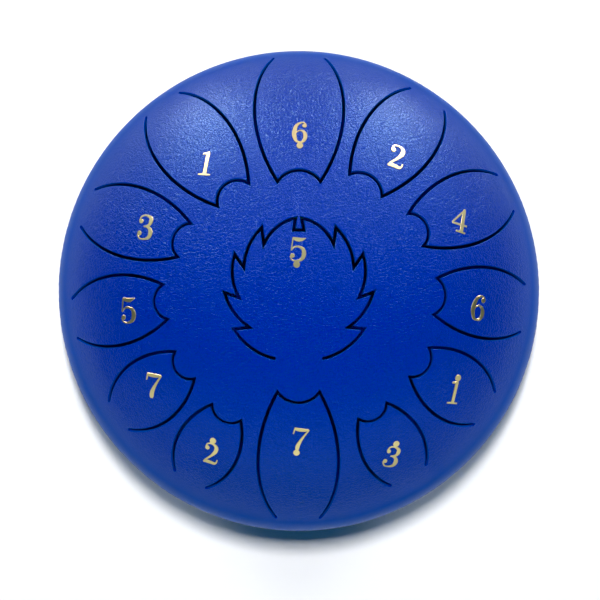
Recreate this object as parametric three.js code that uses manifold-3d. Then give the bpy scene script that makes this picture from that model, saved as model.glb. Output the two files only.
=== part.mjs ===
// Thirteen-note steel tongue drum, in millimetres with +Z up, standing on three rubber feet.
// The origin is the middle of the circle that the feet stand on, at floor level. +Y points from
// the middle of the drum to its longest ring tongue, so every number reads upright from -Y.
import * as THREE from "three";
import { mergeVertices } from "three/addons/utils/BufferGeometryUtils.js";
import Module from "manifold-3d";

const wasm = await Module();
wasm.setup();

// Shells: two pressed steel shells butt-welded at the equator.
const SHELL_RADIUS = 152;
const CROWN_HEIGHT = 84;
const BOWL_DEPTH = 66;
const WALL = 1.8;
const RIM_HALF_GAP = 1.5;
const BOWL_TANGENT = THREE.MathUtils.degToRad(35);
const SOUND_HOLE_RADIUS = 35;
const FOOT_HEIGHT = 14;
const EQUATOR_Z = FOOT_HEIGHT + BOWL_DEPTH;
const CROWN_STEPS = 10;
const BOWL_STEPS = 4;
const SHELL_SEGMENTS = 48;
const FIT_GAP = 0.3;

// Weld bead between the two rims.
const WELD_HALF_HEIGHT = RIM_HALF_GAP - FIT_GAP;
const WELD_CROWN = 0.4;

// Tongues: laser-cut slots that stop at each tongue's root. Distances run along the dome from the
// middle of the crown, and angles run anticlockwise from +X.
const SLOT_WIDTH = 2;
const CUTTER_REACH_OUT = 14;
const CUTTER_REACH_IN = 4;
const SIDE_STEPS = 8;
const NOTCH_STEPS = 6;
const RING_TONGUES = [
  { note: "low6", angle: 89.8, tip: 61.5, root: 161.5, tipSpan: 26, rootSpan: 35.5, bow: 13, notch: 7.3 },
  { note: "low7", angle: 269.7, tip: 66.5, root: 160, tipSpan: 25.5, rootSpan: 29.5, bow: 11.7, notch: 6.7 },
  { note: "1", angle: 126.6, tip: 67, root: 158.5, tipSpan: 23.5, rootSpan: 28, bow: 12.8, notch: 8.4 },
  { note: "2", angle: 55.5, tip: 72.5, root: 158.5, tipSpan: 24, rootSpan: 27.5, bow: 11.2, notch: 6.8 },
  { note: "3", angle: 159.4, tip: 75, root: 154.5, tipSpan: 22, rootSpan: 26.5, bow: 10.7, notch: 7.3 },
  { note: "4", angle: 24.4, tip: 79, root: 157, tipSpan: 22, rootSpan: 26.5, bow: 11, notch: 7.7 },
  { note: "5", angle: 187.9, tip: 83, root: 155, tipSpan: 21.5, rootSpan: 26.5, bow: 10.4, notch: 7.3 },
  { note: "6", angle: 354.4, tip: 84.5, root: 153.5, tipSpan: 22.5, rootSpan: 32, bow: 9, notch: 6.6 },
  { note: "7", angle: 215.6, tip: 86.5, root: 149, tipSpan: 20.5, rootSpan: 22.5, bow: 10.7, notch: 7.1 },
  { note: "high1", angle: 326.6, tip: 89, root: 149.5, tipSpan: 21.5, rootSpan: 25.5, bow: 9.9, notch: 6.8 },
  { note: "high2", angle: 240.6, tip: 91.5, root: 148.5, tipSpan: 20.5, rootSpan: 23, bow: 9.4, notch: 6.2 },
  { note: "high3", angle: 299.9, tip: 91, root: 146, tipSpan: 20, rootSpan: 26.5, bow: 8.6, notch: 6.1 },
];

// The lowest note is the leaf-shaped middle tongue. Half of its outline, from the dovetail notch at
// its tip round to its root: each corner with the rise of the arc that leads to it, 0 for a straight.
const LEAF_HALF = [
  { x: 3.05, y: 31.3, rise: 0 },
  { x: 1.85, y: 38.5, rise: 0 },
  { x: 20.9, y: 22.8, rise: 3.1 },
  { x: 22.4, y: 32.9, rise: 0 },
  { x: 33.1, y: 8.9, rise: 2.5 },
  { x: 38.6, y: 16.8, rise: 0 },
  { x: 36.0, y: -9.2, rise: 2.7 },
  { x: 44.9, y: -6.1, rise: 0 },
  { x: 29.8, y: -27.1, rise: 2.2 },
  { x: 39.3, y: -28.1, rise: 0 },
  { x: 13.9, y: -46.1, rise: 3.2 },
];
const LEAF_ARC_STEPS = 4;

// Number stickers: where each digit's middle sits, how far it leans clockwise, and on which side its
// octave dot joins it (-1 below, 0 none, 1 above).
const PLAIN_DIGIT = 16;
const DOTTED_DIGIT = 15;
const STICKER_THICKNESS = 0.3;
const STICKER_GAP = 0.1;
const DOT_RADIUS = 2.05;
const DOT_OVERLAP = 0.5;
const STROKE_STEPS = 7;
const ROUND_STEPS = 8;
const STICKERS = [
  { note: "low5", digit: 5, arc: 19.5, angle: 91, lean: 3, dot: -1, dotX: -0.5 },
  { note: "low6", digit: 6, arc: 94, angle: 89.5, lean: 2, dot: -1, dotX: 0.2 },
  { note: "low7", digit: 7, arc: 96.3, angle: 270.4, lean: 7, dot: -1, dotX: -1.2 },
  { note: "1", digit: 1, arc: 94.4, angle: 127.5, lean: 5, dot: 0, dotX: 0 },
  { note: "2", digit: 2, arc: 100.2, angle: 52.5, lean: 17, dot: 0, dotX: 0 },
  { note: "3", digit: 3, arc: 102.3, angle: 159.6, lean: 2, dot: 0, dotX: 0 },
  { note: "4", digit: 4, arc: 109, angle: 21.7, lean: 15, dot: 0, dotX: 0 },
  { note: "5", digit: 5, arc: 108.1, angle: 188.7, lean: 1, dot: 0, dotX: 0 },
  { note: "6", digit: 6, arc: 114.3, angle: 352.4, lean: 9, dot: 0, dotX: 0 },
  { note: "7", digit: 7, arc: 111.4, angle: 214.9, lean: 10, dot: 0, dotX: 0 },
  { note: "high1", digit: 1, arc: 120.2, angle: 325.2, lean: 4, dot: 1, dotX: 0.4 },
  { note: "high2", digit: 2, arc: 121, angle: 242.3, lean: 15, dot: 1, dotX: 0.5 },
  { note: "high3", digit: 3, arc: 124.8, angle: 298.2, lean: 7, dot: 1, dotX: 0.4 },
];

// Digits as brush strokes on a body 16 mm high: the middle of the stroke and its width, with a round
// ball where a stroke ends in one. x runs right and y up from the digit's middle.
const DIGITS = {
  1: {
    strokes: [
      [[0.9, 7.9, 0.5], [0.5, 6.6, 2.1], [0.3, 4, 2.3], [0.2, -5.6, 2.4], [0.2, -7.4, 3.4]],
      [[0.9, 7.7, 0.5], [-0.9, 6.6, 1.4], [-3, 6.2, 1.2]],
      [[-3.9, -7.4, 1], [0, -7.3, 1.3], [3.9, -7.4, 1]],
    ],
    balls: [],
  },
  2: {
    strokes: [
      [[-3.7, 4.2, 0.9], [-2.6, 6.8, 1.1], [0.3, 7.4, 1.2], [3.2, 5.6, 2.4], [3.2, 2.4, 2.7],
        [0.9, -1.2, 1.8], [-2.4, -4.6, 1.2], [-4.3, -7.2, 0.9]],
      [[-4.3, -7.2, 1.2], [-2.4, -6.4, 2.4], [0.6, -6.7, 2.4], [3.2, -7, 1.8], [4.5, -5.6, 1],
        [4.8, -3.8, 0.8]],
    ],
    balls: [[-2.5, 4, 1.5]],
  },
  3: {
    strokes: [
      [[-4.3, 4.1, 0.9], [-3, 6.7, 1.1], [-0.2, 7.4, 1.1], [3, 6, 2.2], [3.7, 3.8, 2.7], [2.8, 1.6, 2],
        [0.6, 0.6, 1.2], [-1, 0.5, 1]],
      [[-1, 0.5, 1], [1, 0.3, 1.3], [3.3, -1.2, 2.3], [4, -3.9, 2.9], [2.8, -6.4, 2.2], [-0.2, -7.4, 1.1],
        [-3.2, -6.8, 1], [-4.9, -4.2, 0.9]],
    ],
    balls: [[-3, 3.8, 1.4], [-3.5, -3.6, 1.5]],
  },
  4: {
    strokes: [
      [[2.9, 7.6, 1], [-1, 2.4, 1.2], [-4.9, -2.8, 1.1]],
      [[-4.9, -2.9, 1.1], [0, -2.8, 1.3], [5.4, -2.7, 1.2]],
      [[2.7, 7.6, 1], [2.3, 5.4, 2.2], [2.1, -5.8, 2.4], [2, -7.4, 3]],
      [[-1.6, -7.4, 1], [1.9, -7.3, 1.2], [5, -7.4, 1]],
    ],
    balls: [],
  },
  5: {
    strokes: [
      [[-3.9, 7.6, 0.7], [-1.8, 6.6, 2.4], [1.4, 6.4, 2.3], [4.6, 7.5, 0.5]],
      [[-3.7, 7.4, 0.9], [-4, 3.4, 0.9], [-4.4, -0.8, 0.9]],
      [[-4.4, -0.8, 0.8], [-2.8, 1.2, 0.9], [-0.2, 1.9, 1.2], [2.9, 0.4, 2.2], [3.8, -2.8, 2.9],
        [2.6, -6, 2.2], [-0.6, -7.4, 1.1], [-3.6, -6.9, 0.9], [-4.9, -4.6, 0.9]],
    ],
    balls: [[-3.5, -4.1, 1.45]],
  },
  6: {
    strokes: [
      [[3.9, 5.4, 0.8], [2.9, 7, 0.9], [0.9, 7.4, 1.2], [-2, 5.4, 2.2], [-3.5, 1.2, 2.8],
        [-3.6, -2.4, 2.9], [-2.3, -6.2, 2], [0.2, -7.4, 1.1]],
      [[0.2, -7.4, 1.1], [2.6, -6.2, 2], [3.6, -2.9, 2.7], [2.7, 0.2, 2.1], [0.5, 1.4, 1.1],
        [-1.6, 0.6, 0.9], [-3.2, -1.4, 0.8]],
    ],
    balls: [[2.8, 5.1, 1.5]],
  },
  7: {
    strokes: [
      [[-4.3, 7.7, 0.7], [-4.5, 5.6, 1.1], [-4.9, 3.2, 0.8]],
      [[-4.3, 6.9, 1.8], [-1.6, 6.6, 2.4], [1.6, 6.6, 2.2], [4.7, 7, 1.3]],
      [[4.9, 7.1, 1], [2.6, 3.4, 1.3], [0.4, -0.8, 2], [-0.9, -4.2, 2.7], [-1.2, -6.6, 2.7],
        [-1.2, -8, 1.5]],
    ],
    balls: [],
  },
};

// Feet: rubber bumpers, each held by one screw, two washers and a nut.
const FOOT_COUNT = 3;
const FOOT_CIRCLE = 58;
const FOOT_FIRST_ANGLE = 90;
const FOOT_TOP_RADIUS = 13;
const FOOT_BOTTOM_RADIUS = 11;
const FOOT_EDGE = 0.8;
const RECESS_RADIUS = 6.4;
const RECESS_DEPTH = 7;
const BORE_RADIUS = 2.9;
const SHANK_RADIUS = 2.5;
const HEAD_RADIUS = 4.6;
const HEAD_HEIGHT = 3;
const CUP_WASHER = { radius: 6, thickness: 1 };
const INNER_WASHER = { radius: 7.5, thickness: 1.2 };
const NUT = { acrossFlats: 8, height: 4, bore: 2.8 };
const THREAD_BEYOND_NUT = 1.4;
const FASTENER_SEGMENTS = 12;

const paint = new THREE.MeshStandardMaterial({ color: 0x0a35a8, roughness: 0.4, metalness: 0.25 });
const gold = new THREE.MeshStandardMaterial({ color: 0xcfae62, roughness: 0.3, metalness: 0.9 });
const rubber = new THREE.MeshStandardMaterial({ color: 0x151515, roughness: 0.8, metalness: 0 });
const zinc = new THREE.MeshStandardMaterial({ color: 0xb4b6b8, roughness: 0.35, metalness: 1 });

const drum = new THREE.Group();

function addPart(name, geometry, material) {
  const mesh = new THREE.Mesh(geometry, material);
  mesh.name = name;
  drum.add(mesh);
  return mesh;
}

// Closed-mesh helpers.

function weldVertices(geometry) {
  const bare = geometry.clone();
  bare.deleteAttribute("normal");
  bare.deleteAttribute("uv");
  const merged = mergeVertices(bare, 1e-4);
  const corners = merged.index.array;
  const kept = [];
  for (let i = 0; i < corners.length; i += 3) {
    const [a, b, c] = [corners[i], corners[i + 1], corners[i + 2]];
    if (a !== b && b !== c && c !== a) kept.push(a, b, c);
  }
  merged.setIndex(kept);
  return merged;
}

function toSolid(geometry) {
  const merged = weldVertices(geometry);
  return new wasm.Manifold(new wasm.Mesh({
    numProp: 3,
    vertProperties: new Float32Array(merged.attributes.position.array),
    triVerts: new Uint32Array(merged.index.array),
  }));
}

// Edges shorter than this are closed up on the way.
const SLIVER = 0.002;

function toGeometry(solid) {
  const mesh = solid.simplify(SLIVER).getMesh();
  const geometry = new THREE.BufferGeometry();
  geometry.setAttribute("position", new THREE.BufferAttribute(mesh.vertProperties, 3));
  geometry.setIndex(new THREE.BufferAttribute(mesh.triVerts, 1));
  return geometry;
}

// A ring or disc turned about Z from a list of [radius, height] corners.
function turned(corners, segments) {
  const profile = corners.map(([radius, height]) => new THREE.Vector2(radius, height));
  const geometry = new THREE.LatheGeometry(profile, segments);
  geometry.rotateX(Math.PI / 2);
  return weldVertices(geometry);
}

// The crown is half an ellipse turned about Z. tilt is 0 at its middle and 90 degrees at its rim.

function crownSection(tilt, lift) {
  const across = CROWN_HEIGHT * Math.sin(tilt);
  const along = SHELL_RADIUS * Math.cos(tilt);
  const length = Math.hypot(across, along);
  const radius = SHELL_RADIUS * Math.sin(tilt) + (lift * across) / length;
  const height = EQUATOR_Z + CROWN_HEIGHT * Math.cos(tilt) + (lift * along) / length;
  return [radius, height];
}

const ARC_SAMPLES = 900;
const arcLengths = [0];
for (let i = 1; i <= ARC_SAMPLES; i++) {
  const step = Math.PI / 2 / ARC_SAMPLES;
  const tilt = (i - 0.5) * step;
  const speed = Math.hypot(SHELL_RADIUS * Math.cos(tilt), CROWN_HEIGHT * Math.sin(tilt));
  arcLengths.push(arcLengths[i - 1] + speed * step);
}

function tiltAt(arc) {
  let i = 1;
  while (i < ARC_SAMPLES && arcLengths[i] < arc) i++;
  const part = (arc - arcLengths[i - 1]) / (arcLengths[i] - arcLengths[i - 1]);
  return ((i - 1 + part) * Math.PI) / 2 / ARC_SAMPLES;
}

// A point of the flat layout, laid on the dome by its distance and direction from the middle.
function onCrown(x, y, lift) {
  const [radius, height] = crownSection(tiltAt(Math.hypot(x, y)), lift);
  const angle = Math.atan2(y, x);
  return new THREE.Vector3(radius * Math.cos(angle), radius * Math.sin(angle), height);
}

// Flat outlines.

// Points of the arc from a to b, a left out, whose middle stands rise to the right of the way.
function arcTo(a, b, rise, steps) {
  const way = b.clone().sub(a);
  const right = new THREE.Vector2(way.y, -way.x).normalize();
  const middle = a.clone().add(b).multiplyScalar(0.5);
  const radius = (way.lengthSq() / 4 + rise * rise) / (2 * rise);
  const centre = middle.clone().addScaledVector(right, rise - radius);
  const from = a.clone().sub(centre);
  const sweep = 2 * Math.asin(way.length() / 2 / radius);
  const points = [];
  for (let i = 1; i < steps; i++) {
    points.push(from.clone().rotateAround(new THREE.Vector2(), (sweep * i) / steps).add(centre));
  }
  points.push(b.clone());
  return points;
}

// A ring tongue's outline, anticlockwise, its last edge being the root. The middle line runs along
// direction angle, and the notch at the free tip curves into the tongue.
function ringOutline({ angle, tip, root, tipSpan, rootSpan, bow, notch }) {
  const rootLeft = new THREE.Vector2(root, rootSpan / 2);
  const tipLeft = new THREE.Vector2(tip, tipSpan / 2);
  const tipRight = new THREE.Vector2(tip, -tipSpan / 2);
  const rootRight = new THREE.Vector2(root, -rootSpan / 2);
  const points = [
    rootLeft,
    ...arcTo(rootLeft, tipLeft, bow, SIDE_STEPS),
    ...arcTo(tipRight, tipLeft, notch, NOTCH_STEPS).reverse().slice(1),
    tipRight,
    ...arcTo(tipRight, rootRight, bow, SIDE_STEPS),
  ];
  const turn = THREE.MathUtils.degToRad(angle);
  return points.map((point) => point.rotateAround(new THREE.Vector2(), turn));
}

function leafOutline() {
  const right = [];
  for (const { x, y, rise } of LEAF_HALF) {
    const corner = new THREE.Vector2(x, y);
    if (rise === 0) right.push(corner);
    else right.push(...arcTo(corner, right.at(-1), rise, LEAF_ARC_STEPS).reverse().slice(1), corner);
  }
  const left = right.map((point) => new THREE.Vector2(-point.x, point.y));
  return [...left.reverse(), ...right].reverse();
}

// Moves every edge of an anticlockwise outline outwards, the last edge by its own distance.
function grown(outline, distance, lastDistance) {
  const count = outline.length;
  const edges = outline.map((start, i) => {
    const way = outline[(i + 1) % count].clone().sub(start).normalize();
    const out = i === count - 1 ? lastDistance : distance;
    return { normal: new THREE.Vector2(way.y, -way.x), out };
  });
  return outline.map((point, i) => {
    const before = edges[(i + count - 1) % count];
    const after = edges[i];
    const cross = before.normal.cross(after.normal);
    if (Math.abs(cross) < 1e-6) return point.clone().addScaledVector(after.normal, after.out);
    const shiftX = (before.out * after.normal.y - after.out * before.normal.y) / cross;
    const shiftY = (after.out * before.normal.x - before.out * after.normal.x) / cross;
    return new THREE.Vector2(point.x + shiftX, point.y + shiftY);
  });
}

// A thick prism over a flat outline, wrapped round the dome from inside the wall to outside it.
function crownCutter(outline) {
  const geometry = new THREE.ExtrudeGeometry(new THREE.Shape(outline), { depth: 1, bevelEnabled: false });
  const positions = geometry.attributes.position;
  for (let i = 0; i < positions.count; i++) {
    const lift = positions.getZ(i) > 0.5 ? CUTTER_REACH_OUT : -WALL - CUTTER_REACH_IN;
    const point = onCrown(positions.getX(i), positions.getY(i), lift);
    positions.setXYZ(i, point.x, point.y, point.z);
  }
  return toSolid(geometry);
}

// Upper shell and its thirteen tongues.

function crownBlank() {
  const rimTilt = Math.acos(RIM_HALF_GAP / CROWN_HEIGHT);
  const outside = [];
  const inside = [];
  for (let i = 0; i <= CROWN_STEPS; i++) {
    const tilt = (rimTilt * i) / CROWN_STEPS;
    outside.push(crownSection(tilt, 0));
    inside.push(crownSection(tilt, -WALL));
  }
  inside[CROWN_STEPS][1] = EQUATOR_Z + RIM_HALF_GAP;
  return turned([...inside, ...outside.reverse()], SHELL_SEGMENTS);
}

function addUpperShell() {
  const blank = toSolid(crownBlank());
  const outlines = [{ note: "low5", outline: leafOutline() }];
  for (const tongue of RING_TONGUES) outlines.push({ note: tongue.note, outline: ringOutline(tongue) });
  let shell = blank;
  for (const { note, outline } of outlines) {
    const opening = crownCutter(grown(outline, SLOT_WIDTH / 2, FIT_GAP / 2));
    const kept = crownCutter(grown(outline, -SLOT_WIDTH / 2, -FIT_GAP / 2));
    shell = shell.subtract(opening);
    addPart(`tongue_${note}`, toGeometry(blank.intersect(kept)), paint);
  }
  addPart("upper_shell", toGeometry(shell), paint);
}

// Lower shell: the same ellipse down to BOWL_TANGENT, a round shoulder, and a flat base.

function bowlSection(lift) {
  const across = CROWN_HEIGHT * Math.cos(BOWL_TANGENT);
  const down = SHELL_RADIUS * Math.sin(BOWL_TANGENT);
  const length = Math.hypot(across, down);
  const shoulderAngle = Math.atan2(down, across);
  const shoulderRadius = (BOWL_DEPTH - CROWN_HEIGHT * Math.sin(BOWL_TANGENT)) / (1 - down / length);
  const shoulderX = SHELL_RADIUS * Math.cos(BOWL_TANGENT) - (shoulderRadius * across) / length;
  const shoulderZ = EQUATOR_Z - BOWL_DEPTH + shoulderRadius;
  const points = [[SOUND_HOLE_RADIUS, EQUATOR_Z - BOWL_DEPTH - lift]];
  for (let i = 0; i <= BOWL_STEPS; i++) {
    const angle = Math.PI / 2 + ((shoulderAngle - Math.PI / 2) * i) / BOWL_STEPS;
    const reach = shoulderRadius + lift;
    points.push([shoulderX + reach * Math.cos(angle), shoulderZ - reach * Math.sin(angle)]);
  }
  const rimTilt = Math.asin(RIM_HALF_GAP / CROWN_HEIGHT);
  for (let i = 1; i <= BOWL_STEPS; i++) {
    const dip = BOWL_TANGENT + ((rimTilt - BOWL_TANGENT) * i) / BOWL_STEPS;
    const [radius, height] = crownSection(Math.PI / 2 - dip, lift);
    points.push([radius, 2 * EQUATOR_Z - height]);
  }
  points.at(-1)[1] = EQUATOR_Z - RIM_HALF_GAP;
  return points;
}

function footPlaces() {
  const places = [];
  for (let i = 0; i < FOOT_COUNT; i++) {
    const angle = THREE.MathUtils.degToRad(FOOT_FIRST_ANGLE + (360 / FOOT_COUNT) * i);
    places.push([FOOT_CIRCLE * Math.cos(angle), FOOT_CIRCLE * Math.sin(angle)]);
  }
  return places;
}

function addLowerShell() {
  const outside = bowlSection(0);
  const inside = bowlSection(-WALL);
  let shell = toSolid(turned([...outside, ...inside.reverse(), outside[0]], SHELL_SEGMENTS));
  for (const [x, y] of footPlaces()) {
    const drill = new THREE.CylinderGeometry(BORE_RADIUS, BORE_RADIUS, 4 * WALL, FASTENER_SEGMENTS);
    drill.rotateX(Math.PI / 2);
    drill.translate(x, y, FOOT_HEIGHT);
    shell = shell.subtract(toSolid(drill));
  }
  addPart("lower_shell", toGeometry(shell), paint);
}

function addRimWeld() {
  const inner = SHELL_RADIUS - WALL;
  const section = [
    [inner, EQUATOR_Z - WELD_HALF_HEIGHT],
    [SHELL_RADIUS, EQUATOR_Z - WELD_HALF_HEIGHT],
    [SHELL_RADIUS + WELD_CROWN, EQUATOR_Z],
    [SHELL_RADIUS, EQUATOR_Z + WELD_HALF_HEIGHT],
    [inner, EQUATOR_Z + WELD_HALF_HEIGHT],
    [inner, EQUATOR_Z - WELD_HALF_HEIGHT],
  ];
  addPart("rim_weld", turned(section, SHELL_SEGMENTS), paint);
}

// Number stickers.

function strokeShape(points, size) {
  const curve = new THREE.CatmullRomCurve3(points.map(([x, y, width]) => new THREE.Vector3(x, y, width)));
  const left = [];
  const right = [];
  for (let i = 0; i <= STROKE_STEPS; i++) {
    const place = curve.getPoint(i / STROKE_STEPS);
    const way = curve.getTangent(i / STROKE_STEPS);
    const side = new THREE.Vector2(-way.y, way.x).normalize().multiplyScalar(place.z / 2);
    left.push(new THREE.Vector2(place.x + side.x, place.y + side.y).multiplyScalar(size));
    right.push(new THREE.Vector2(place.x - side.x, place.y - side.y).multiplyScalar(size));
  }
  return new THREE.Shape([...right, ...left.reverse()]);
}

function discShape(x, y, radius) {
  const points = [];
  for (let i = 0; i < ROUND_STEPS; i++) {
    const angle = (2 * Math.PI * i) / ROUND_STEPS;
    points.push(new THREE.Vector2(x + radius * Math.cos(angle), y + radius * Math.sin(angle)));
  }
  return new THREE.Shape(points);
}

function stickerGeometry({ digit, dot, dotX }) {
  const height = dot === 0 ? PLAIN_DIGIT : DOTTED_DIGIT;
  const size = height / PLAIN_DIGIT;
  const shapes = DIGITS[digit].strokes.map((points) => strokeShape(points, size));
  for (const [x, y, radius] of DIGITS[digit].balls) {
    shapes.push(discShape(x * size, y * size, radius * size));
  }
  if (dot !== 0) shapes.push(discShape(dotX, dot * (height / 2 + DOT_RADIUS - DOT_OVERLAP), DOT_RADIUS));
  const options = { depth: STICKER_THICKNESS, bevelEnabled: false };
  const solids = shapes.map((shape) => toSolid(new THREE.ExtrudeGeometry(shape, options)));
  return toGeometry(solids.reduce((whole, solid) => whole.add(solid)));
}

function addSticker(sticker) {
  const turn = THREE.MathUtils.degToRad(sticker.angle);
  const [x, y] = [sticker.arc * Math.cos(turn), sticker.arc * Math.sin(turn)];
  const foot = onCrown(x, y, STICKER_GAP);
  const normal = onCrown(x, y, 1 + STICKER_GAP).sub(foot);
  const up = new THREE.Vector3(0, 1, 0).addScaledVector(normal, -normal.y).normalize();
  const right = up.clone().cross(normal);
  const mesh = addPart(`number_${sticker.note}`, stickerGeometry(sticker), gold);
  mesh.quaternion.setFromRotationMatrix(new THREE.Matrix4().makeBasis(right, up, normal));
  mesh.rotateZ(-THREE.MathUtils.degToRad(sticker.lean));
  mesh.position.copy(foot);
}

// Feet and their fasteners, from the floor up.

function addFoot(number, x, y) {
  const washerTop = RECESS_DEPTH - FIT_GAP;
  const washerBottom = washerTop - CUP_WASHER.thickness;
  const headTop = washerBottom - FIT_GAP;
  const innerBottom = FOOT_HEIGHT + WALL + FIT_GAP;
  const innerTop = innerBottom + INNER_WASHER.thickness;
  const nutBottom = innerTop + FIT_GAP;
  const shankTop = nutBottom + NUT.height + THREAD_BEYOND_NUT;
  const footTop = FOOT_HEIGHT - FIT_GAP;
  const bumper = [
    [BORE_RADIUS, RECESS_DEPTH],
    [RECESS_RADIUS, RECESS_DEPTH],
    [RECESS_RADIUS, 0],
    [FOOT_BOTTOM_RADIUS - FOOT_EDGE, 0],
    [FOOT_BOTTOM_RADIUS, FOOT_EDGE],
    [FOOT_TOP_RADIUS, footTop],
    [BORE_RADIUS, footTop],
    [BORE_RADIUS, RECESS_DEPTH],
  ];
  const screw = [
    [0, headTop - HEAD_HEIGHT],
    [HEAD_RADIUS - FOOT_EDGE, headTop - HEAD_HEIGHT],
    [HEAD_RADIUS, headTop - HEAD_HEIGHT + FOOT_EDGE],
    [HEAD_RADIUS, headTop],
    [SHANK_RADIUS, headTop],
    [SHANK_RADIUS, shankTop],
    [0, shankTop],
  ];
  const washer = (bottom, top, radius) => [
    [BORE_RADIUS, bottom],
    [radius, bottom],
    [radius, top],
    [BORE_RADIUS, top],
    [BORE_RADIUS, bottom],
  ];
  const cup = washer(washerBottom, washerTop, CUP_WASHER.radius);
  const spreader = washer(innerBottom, innerTop, INNER_WASHER.radius);
  const pieces = [
    addPart(`foot_${number}`, turned(bumper, FASTENER_SEGMENTS), rubber),
    addPart(`foot_screw_${number}`, turned(screw, FASTENER_SEGMENTS), zinc),
    addPart(`foot_cup_washer_${number}`, turned(cup, FASTENER_SEGMENTS), zinc),
    addPart(`foot_inner_washer_${number}`, turned(spreader, FASTENER_SEGMENTS), zinc),
    addPart(`foot_nut_${number}`, nutGeometry(nutBottom), zinc),
  ];
  for (const piece of pieces) piece.position.set(x, y, 0);
}

function nutGeometry(bottom) {
  const corners = [];
  for (let i = 0; i < 6; i++) {
    const angle = (Math.PI / 3) * i;
    const reach = NUT.acrossFlats / Math.sqrt(3);
    corners.push(new THREE.Vector2(reach * Math.cos(angle), reach * Math.sin(angle)));
  }
  const hexagon = new THREE.Shape(corners);
  hexagon.holes.push(discShape(0, 0, NUT.bore));
  const geometry = new THREE.ExtrudeGeometry(hexagon, { depth: NUT.height, bevelEnabled: false });
  return geometry.translate(0, 0, bottom);
}

addUpperShell();
addLowerShell();
addRimWeld();
STICKERS.forEach(addSticker);
footPlaces().forEach(([x, y], i) => addFoot(i + 1, x, y));

export default drum;
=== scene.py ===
"""Steel tongue drum: finished surfaces, materials, light and camera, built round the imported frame.

Lengths are in millimetres and become metres when a mesh is made. The two shells are drawn in a flat
layout, in which a point lies at its distance along the shell from the drum's axis, and are laid on
their curved sections from there.
"""

import math
from collections import namedtuple

import bmesh
import bpy
import numpy as np
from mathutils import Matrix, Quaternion, Vector
from mathutils.geometry import delaunay_2d_cdt


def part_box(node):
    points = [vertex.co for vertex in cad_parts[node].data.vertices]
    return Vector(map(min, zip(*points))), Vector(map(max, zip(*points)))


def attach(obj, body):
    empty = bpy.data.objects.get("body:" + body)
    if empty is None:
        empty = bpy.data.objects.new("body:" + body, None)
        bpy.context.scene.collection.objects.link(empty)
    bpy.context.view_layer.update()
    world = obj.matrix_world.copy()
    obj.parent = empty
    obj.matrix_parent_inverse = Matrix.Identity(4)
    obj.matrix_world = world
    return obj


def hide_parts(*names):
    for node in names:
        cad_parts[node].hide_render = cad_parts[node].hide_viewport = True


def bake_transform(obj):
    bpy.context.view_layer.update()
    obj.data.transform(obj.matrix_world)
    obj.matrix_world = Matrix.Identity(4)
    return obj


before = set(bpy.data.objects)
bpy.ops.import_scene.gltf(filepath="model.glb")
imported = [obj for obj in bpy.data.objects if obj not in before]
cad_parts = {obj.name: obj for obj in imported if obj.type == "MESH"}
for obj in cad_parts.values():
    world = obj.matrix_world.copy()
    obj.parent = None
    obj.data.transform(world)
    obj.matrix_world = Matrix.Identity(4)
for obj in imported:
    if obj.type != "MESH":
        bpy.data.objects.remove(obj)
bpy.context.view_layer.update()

MM = 0.001


def node_box(name):
    """Lowest and highest corner of a CAD node, in millimetres."""
    low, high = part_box(name)
    return np.array(low) / MM, np.array(high) / MM


# Shells. The weld bead stands WELD_CROWN proud of the flank, WELD_REACH up and down from the joint. Its
# flanks start WELD_SINK under the paint, and its root lies WELD_ROOT inside the wall.
WALL = 1.8
WELD_CROWN = 0.4
WELD_REACH = 2.6
WELD_SINK = 0.03
WELD_ROOT = 0.4
WELD_STEPS = 15
WELD_SEGMENTS = 1152
BOWL_TANGENT = math.radians(35)
SOUND_HOLE_RADIUS = 35
SOUND_HOLE_ROUNDING = 0.7
RIM_HALF_GAP = 1.3
weld_low, weld_high = node_box("rim_weld")
SHELL_RADIUS = weld_high[0] - WELD_CROWN
EQUATOR_Z = (weld_low[2] + weld_high[2]) / 2
CROWN_HEIGHT = node_box("tongue_low5")[1][2] - EQUATOR_Z
BASE_Z = node_box("lower_shell")[0][2]
SEGMENTS = 288
PROFILE_STEPS = 1200
SHOULDER_STEPS = 200
SHARP_ANGLE = math.radians(32)
GRID = 3.4
GRID_MARGIN = 1.9
CURVE_STEP = 2.2
CROWN_RINGS = 9
BOWL_RINGS = 34

# Ripples of the weld bead: height, number round the drum and shift.
WELD_RIPPLES = [(0.05, 190, 0), (0.03, 67, 1), (0.03, 23, 0)]

# Slots and tongues: arcs are distances from the middle of the crown, angles run anticlockwise from +X.
SLOT_WIDTH = 2
EDGE_ROUNDING = 0.35
EDGE_TURNS = [math.radians(turn) for turn in (90, 60, 30, 0)]
LEAST_CLEARANCE = 0.97
CAP_STEPS = 8
CROWN_FIELD = 166
BLEND_INSET = 5

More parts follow.
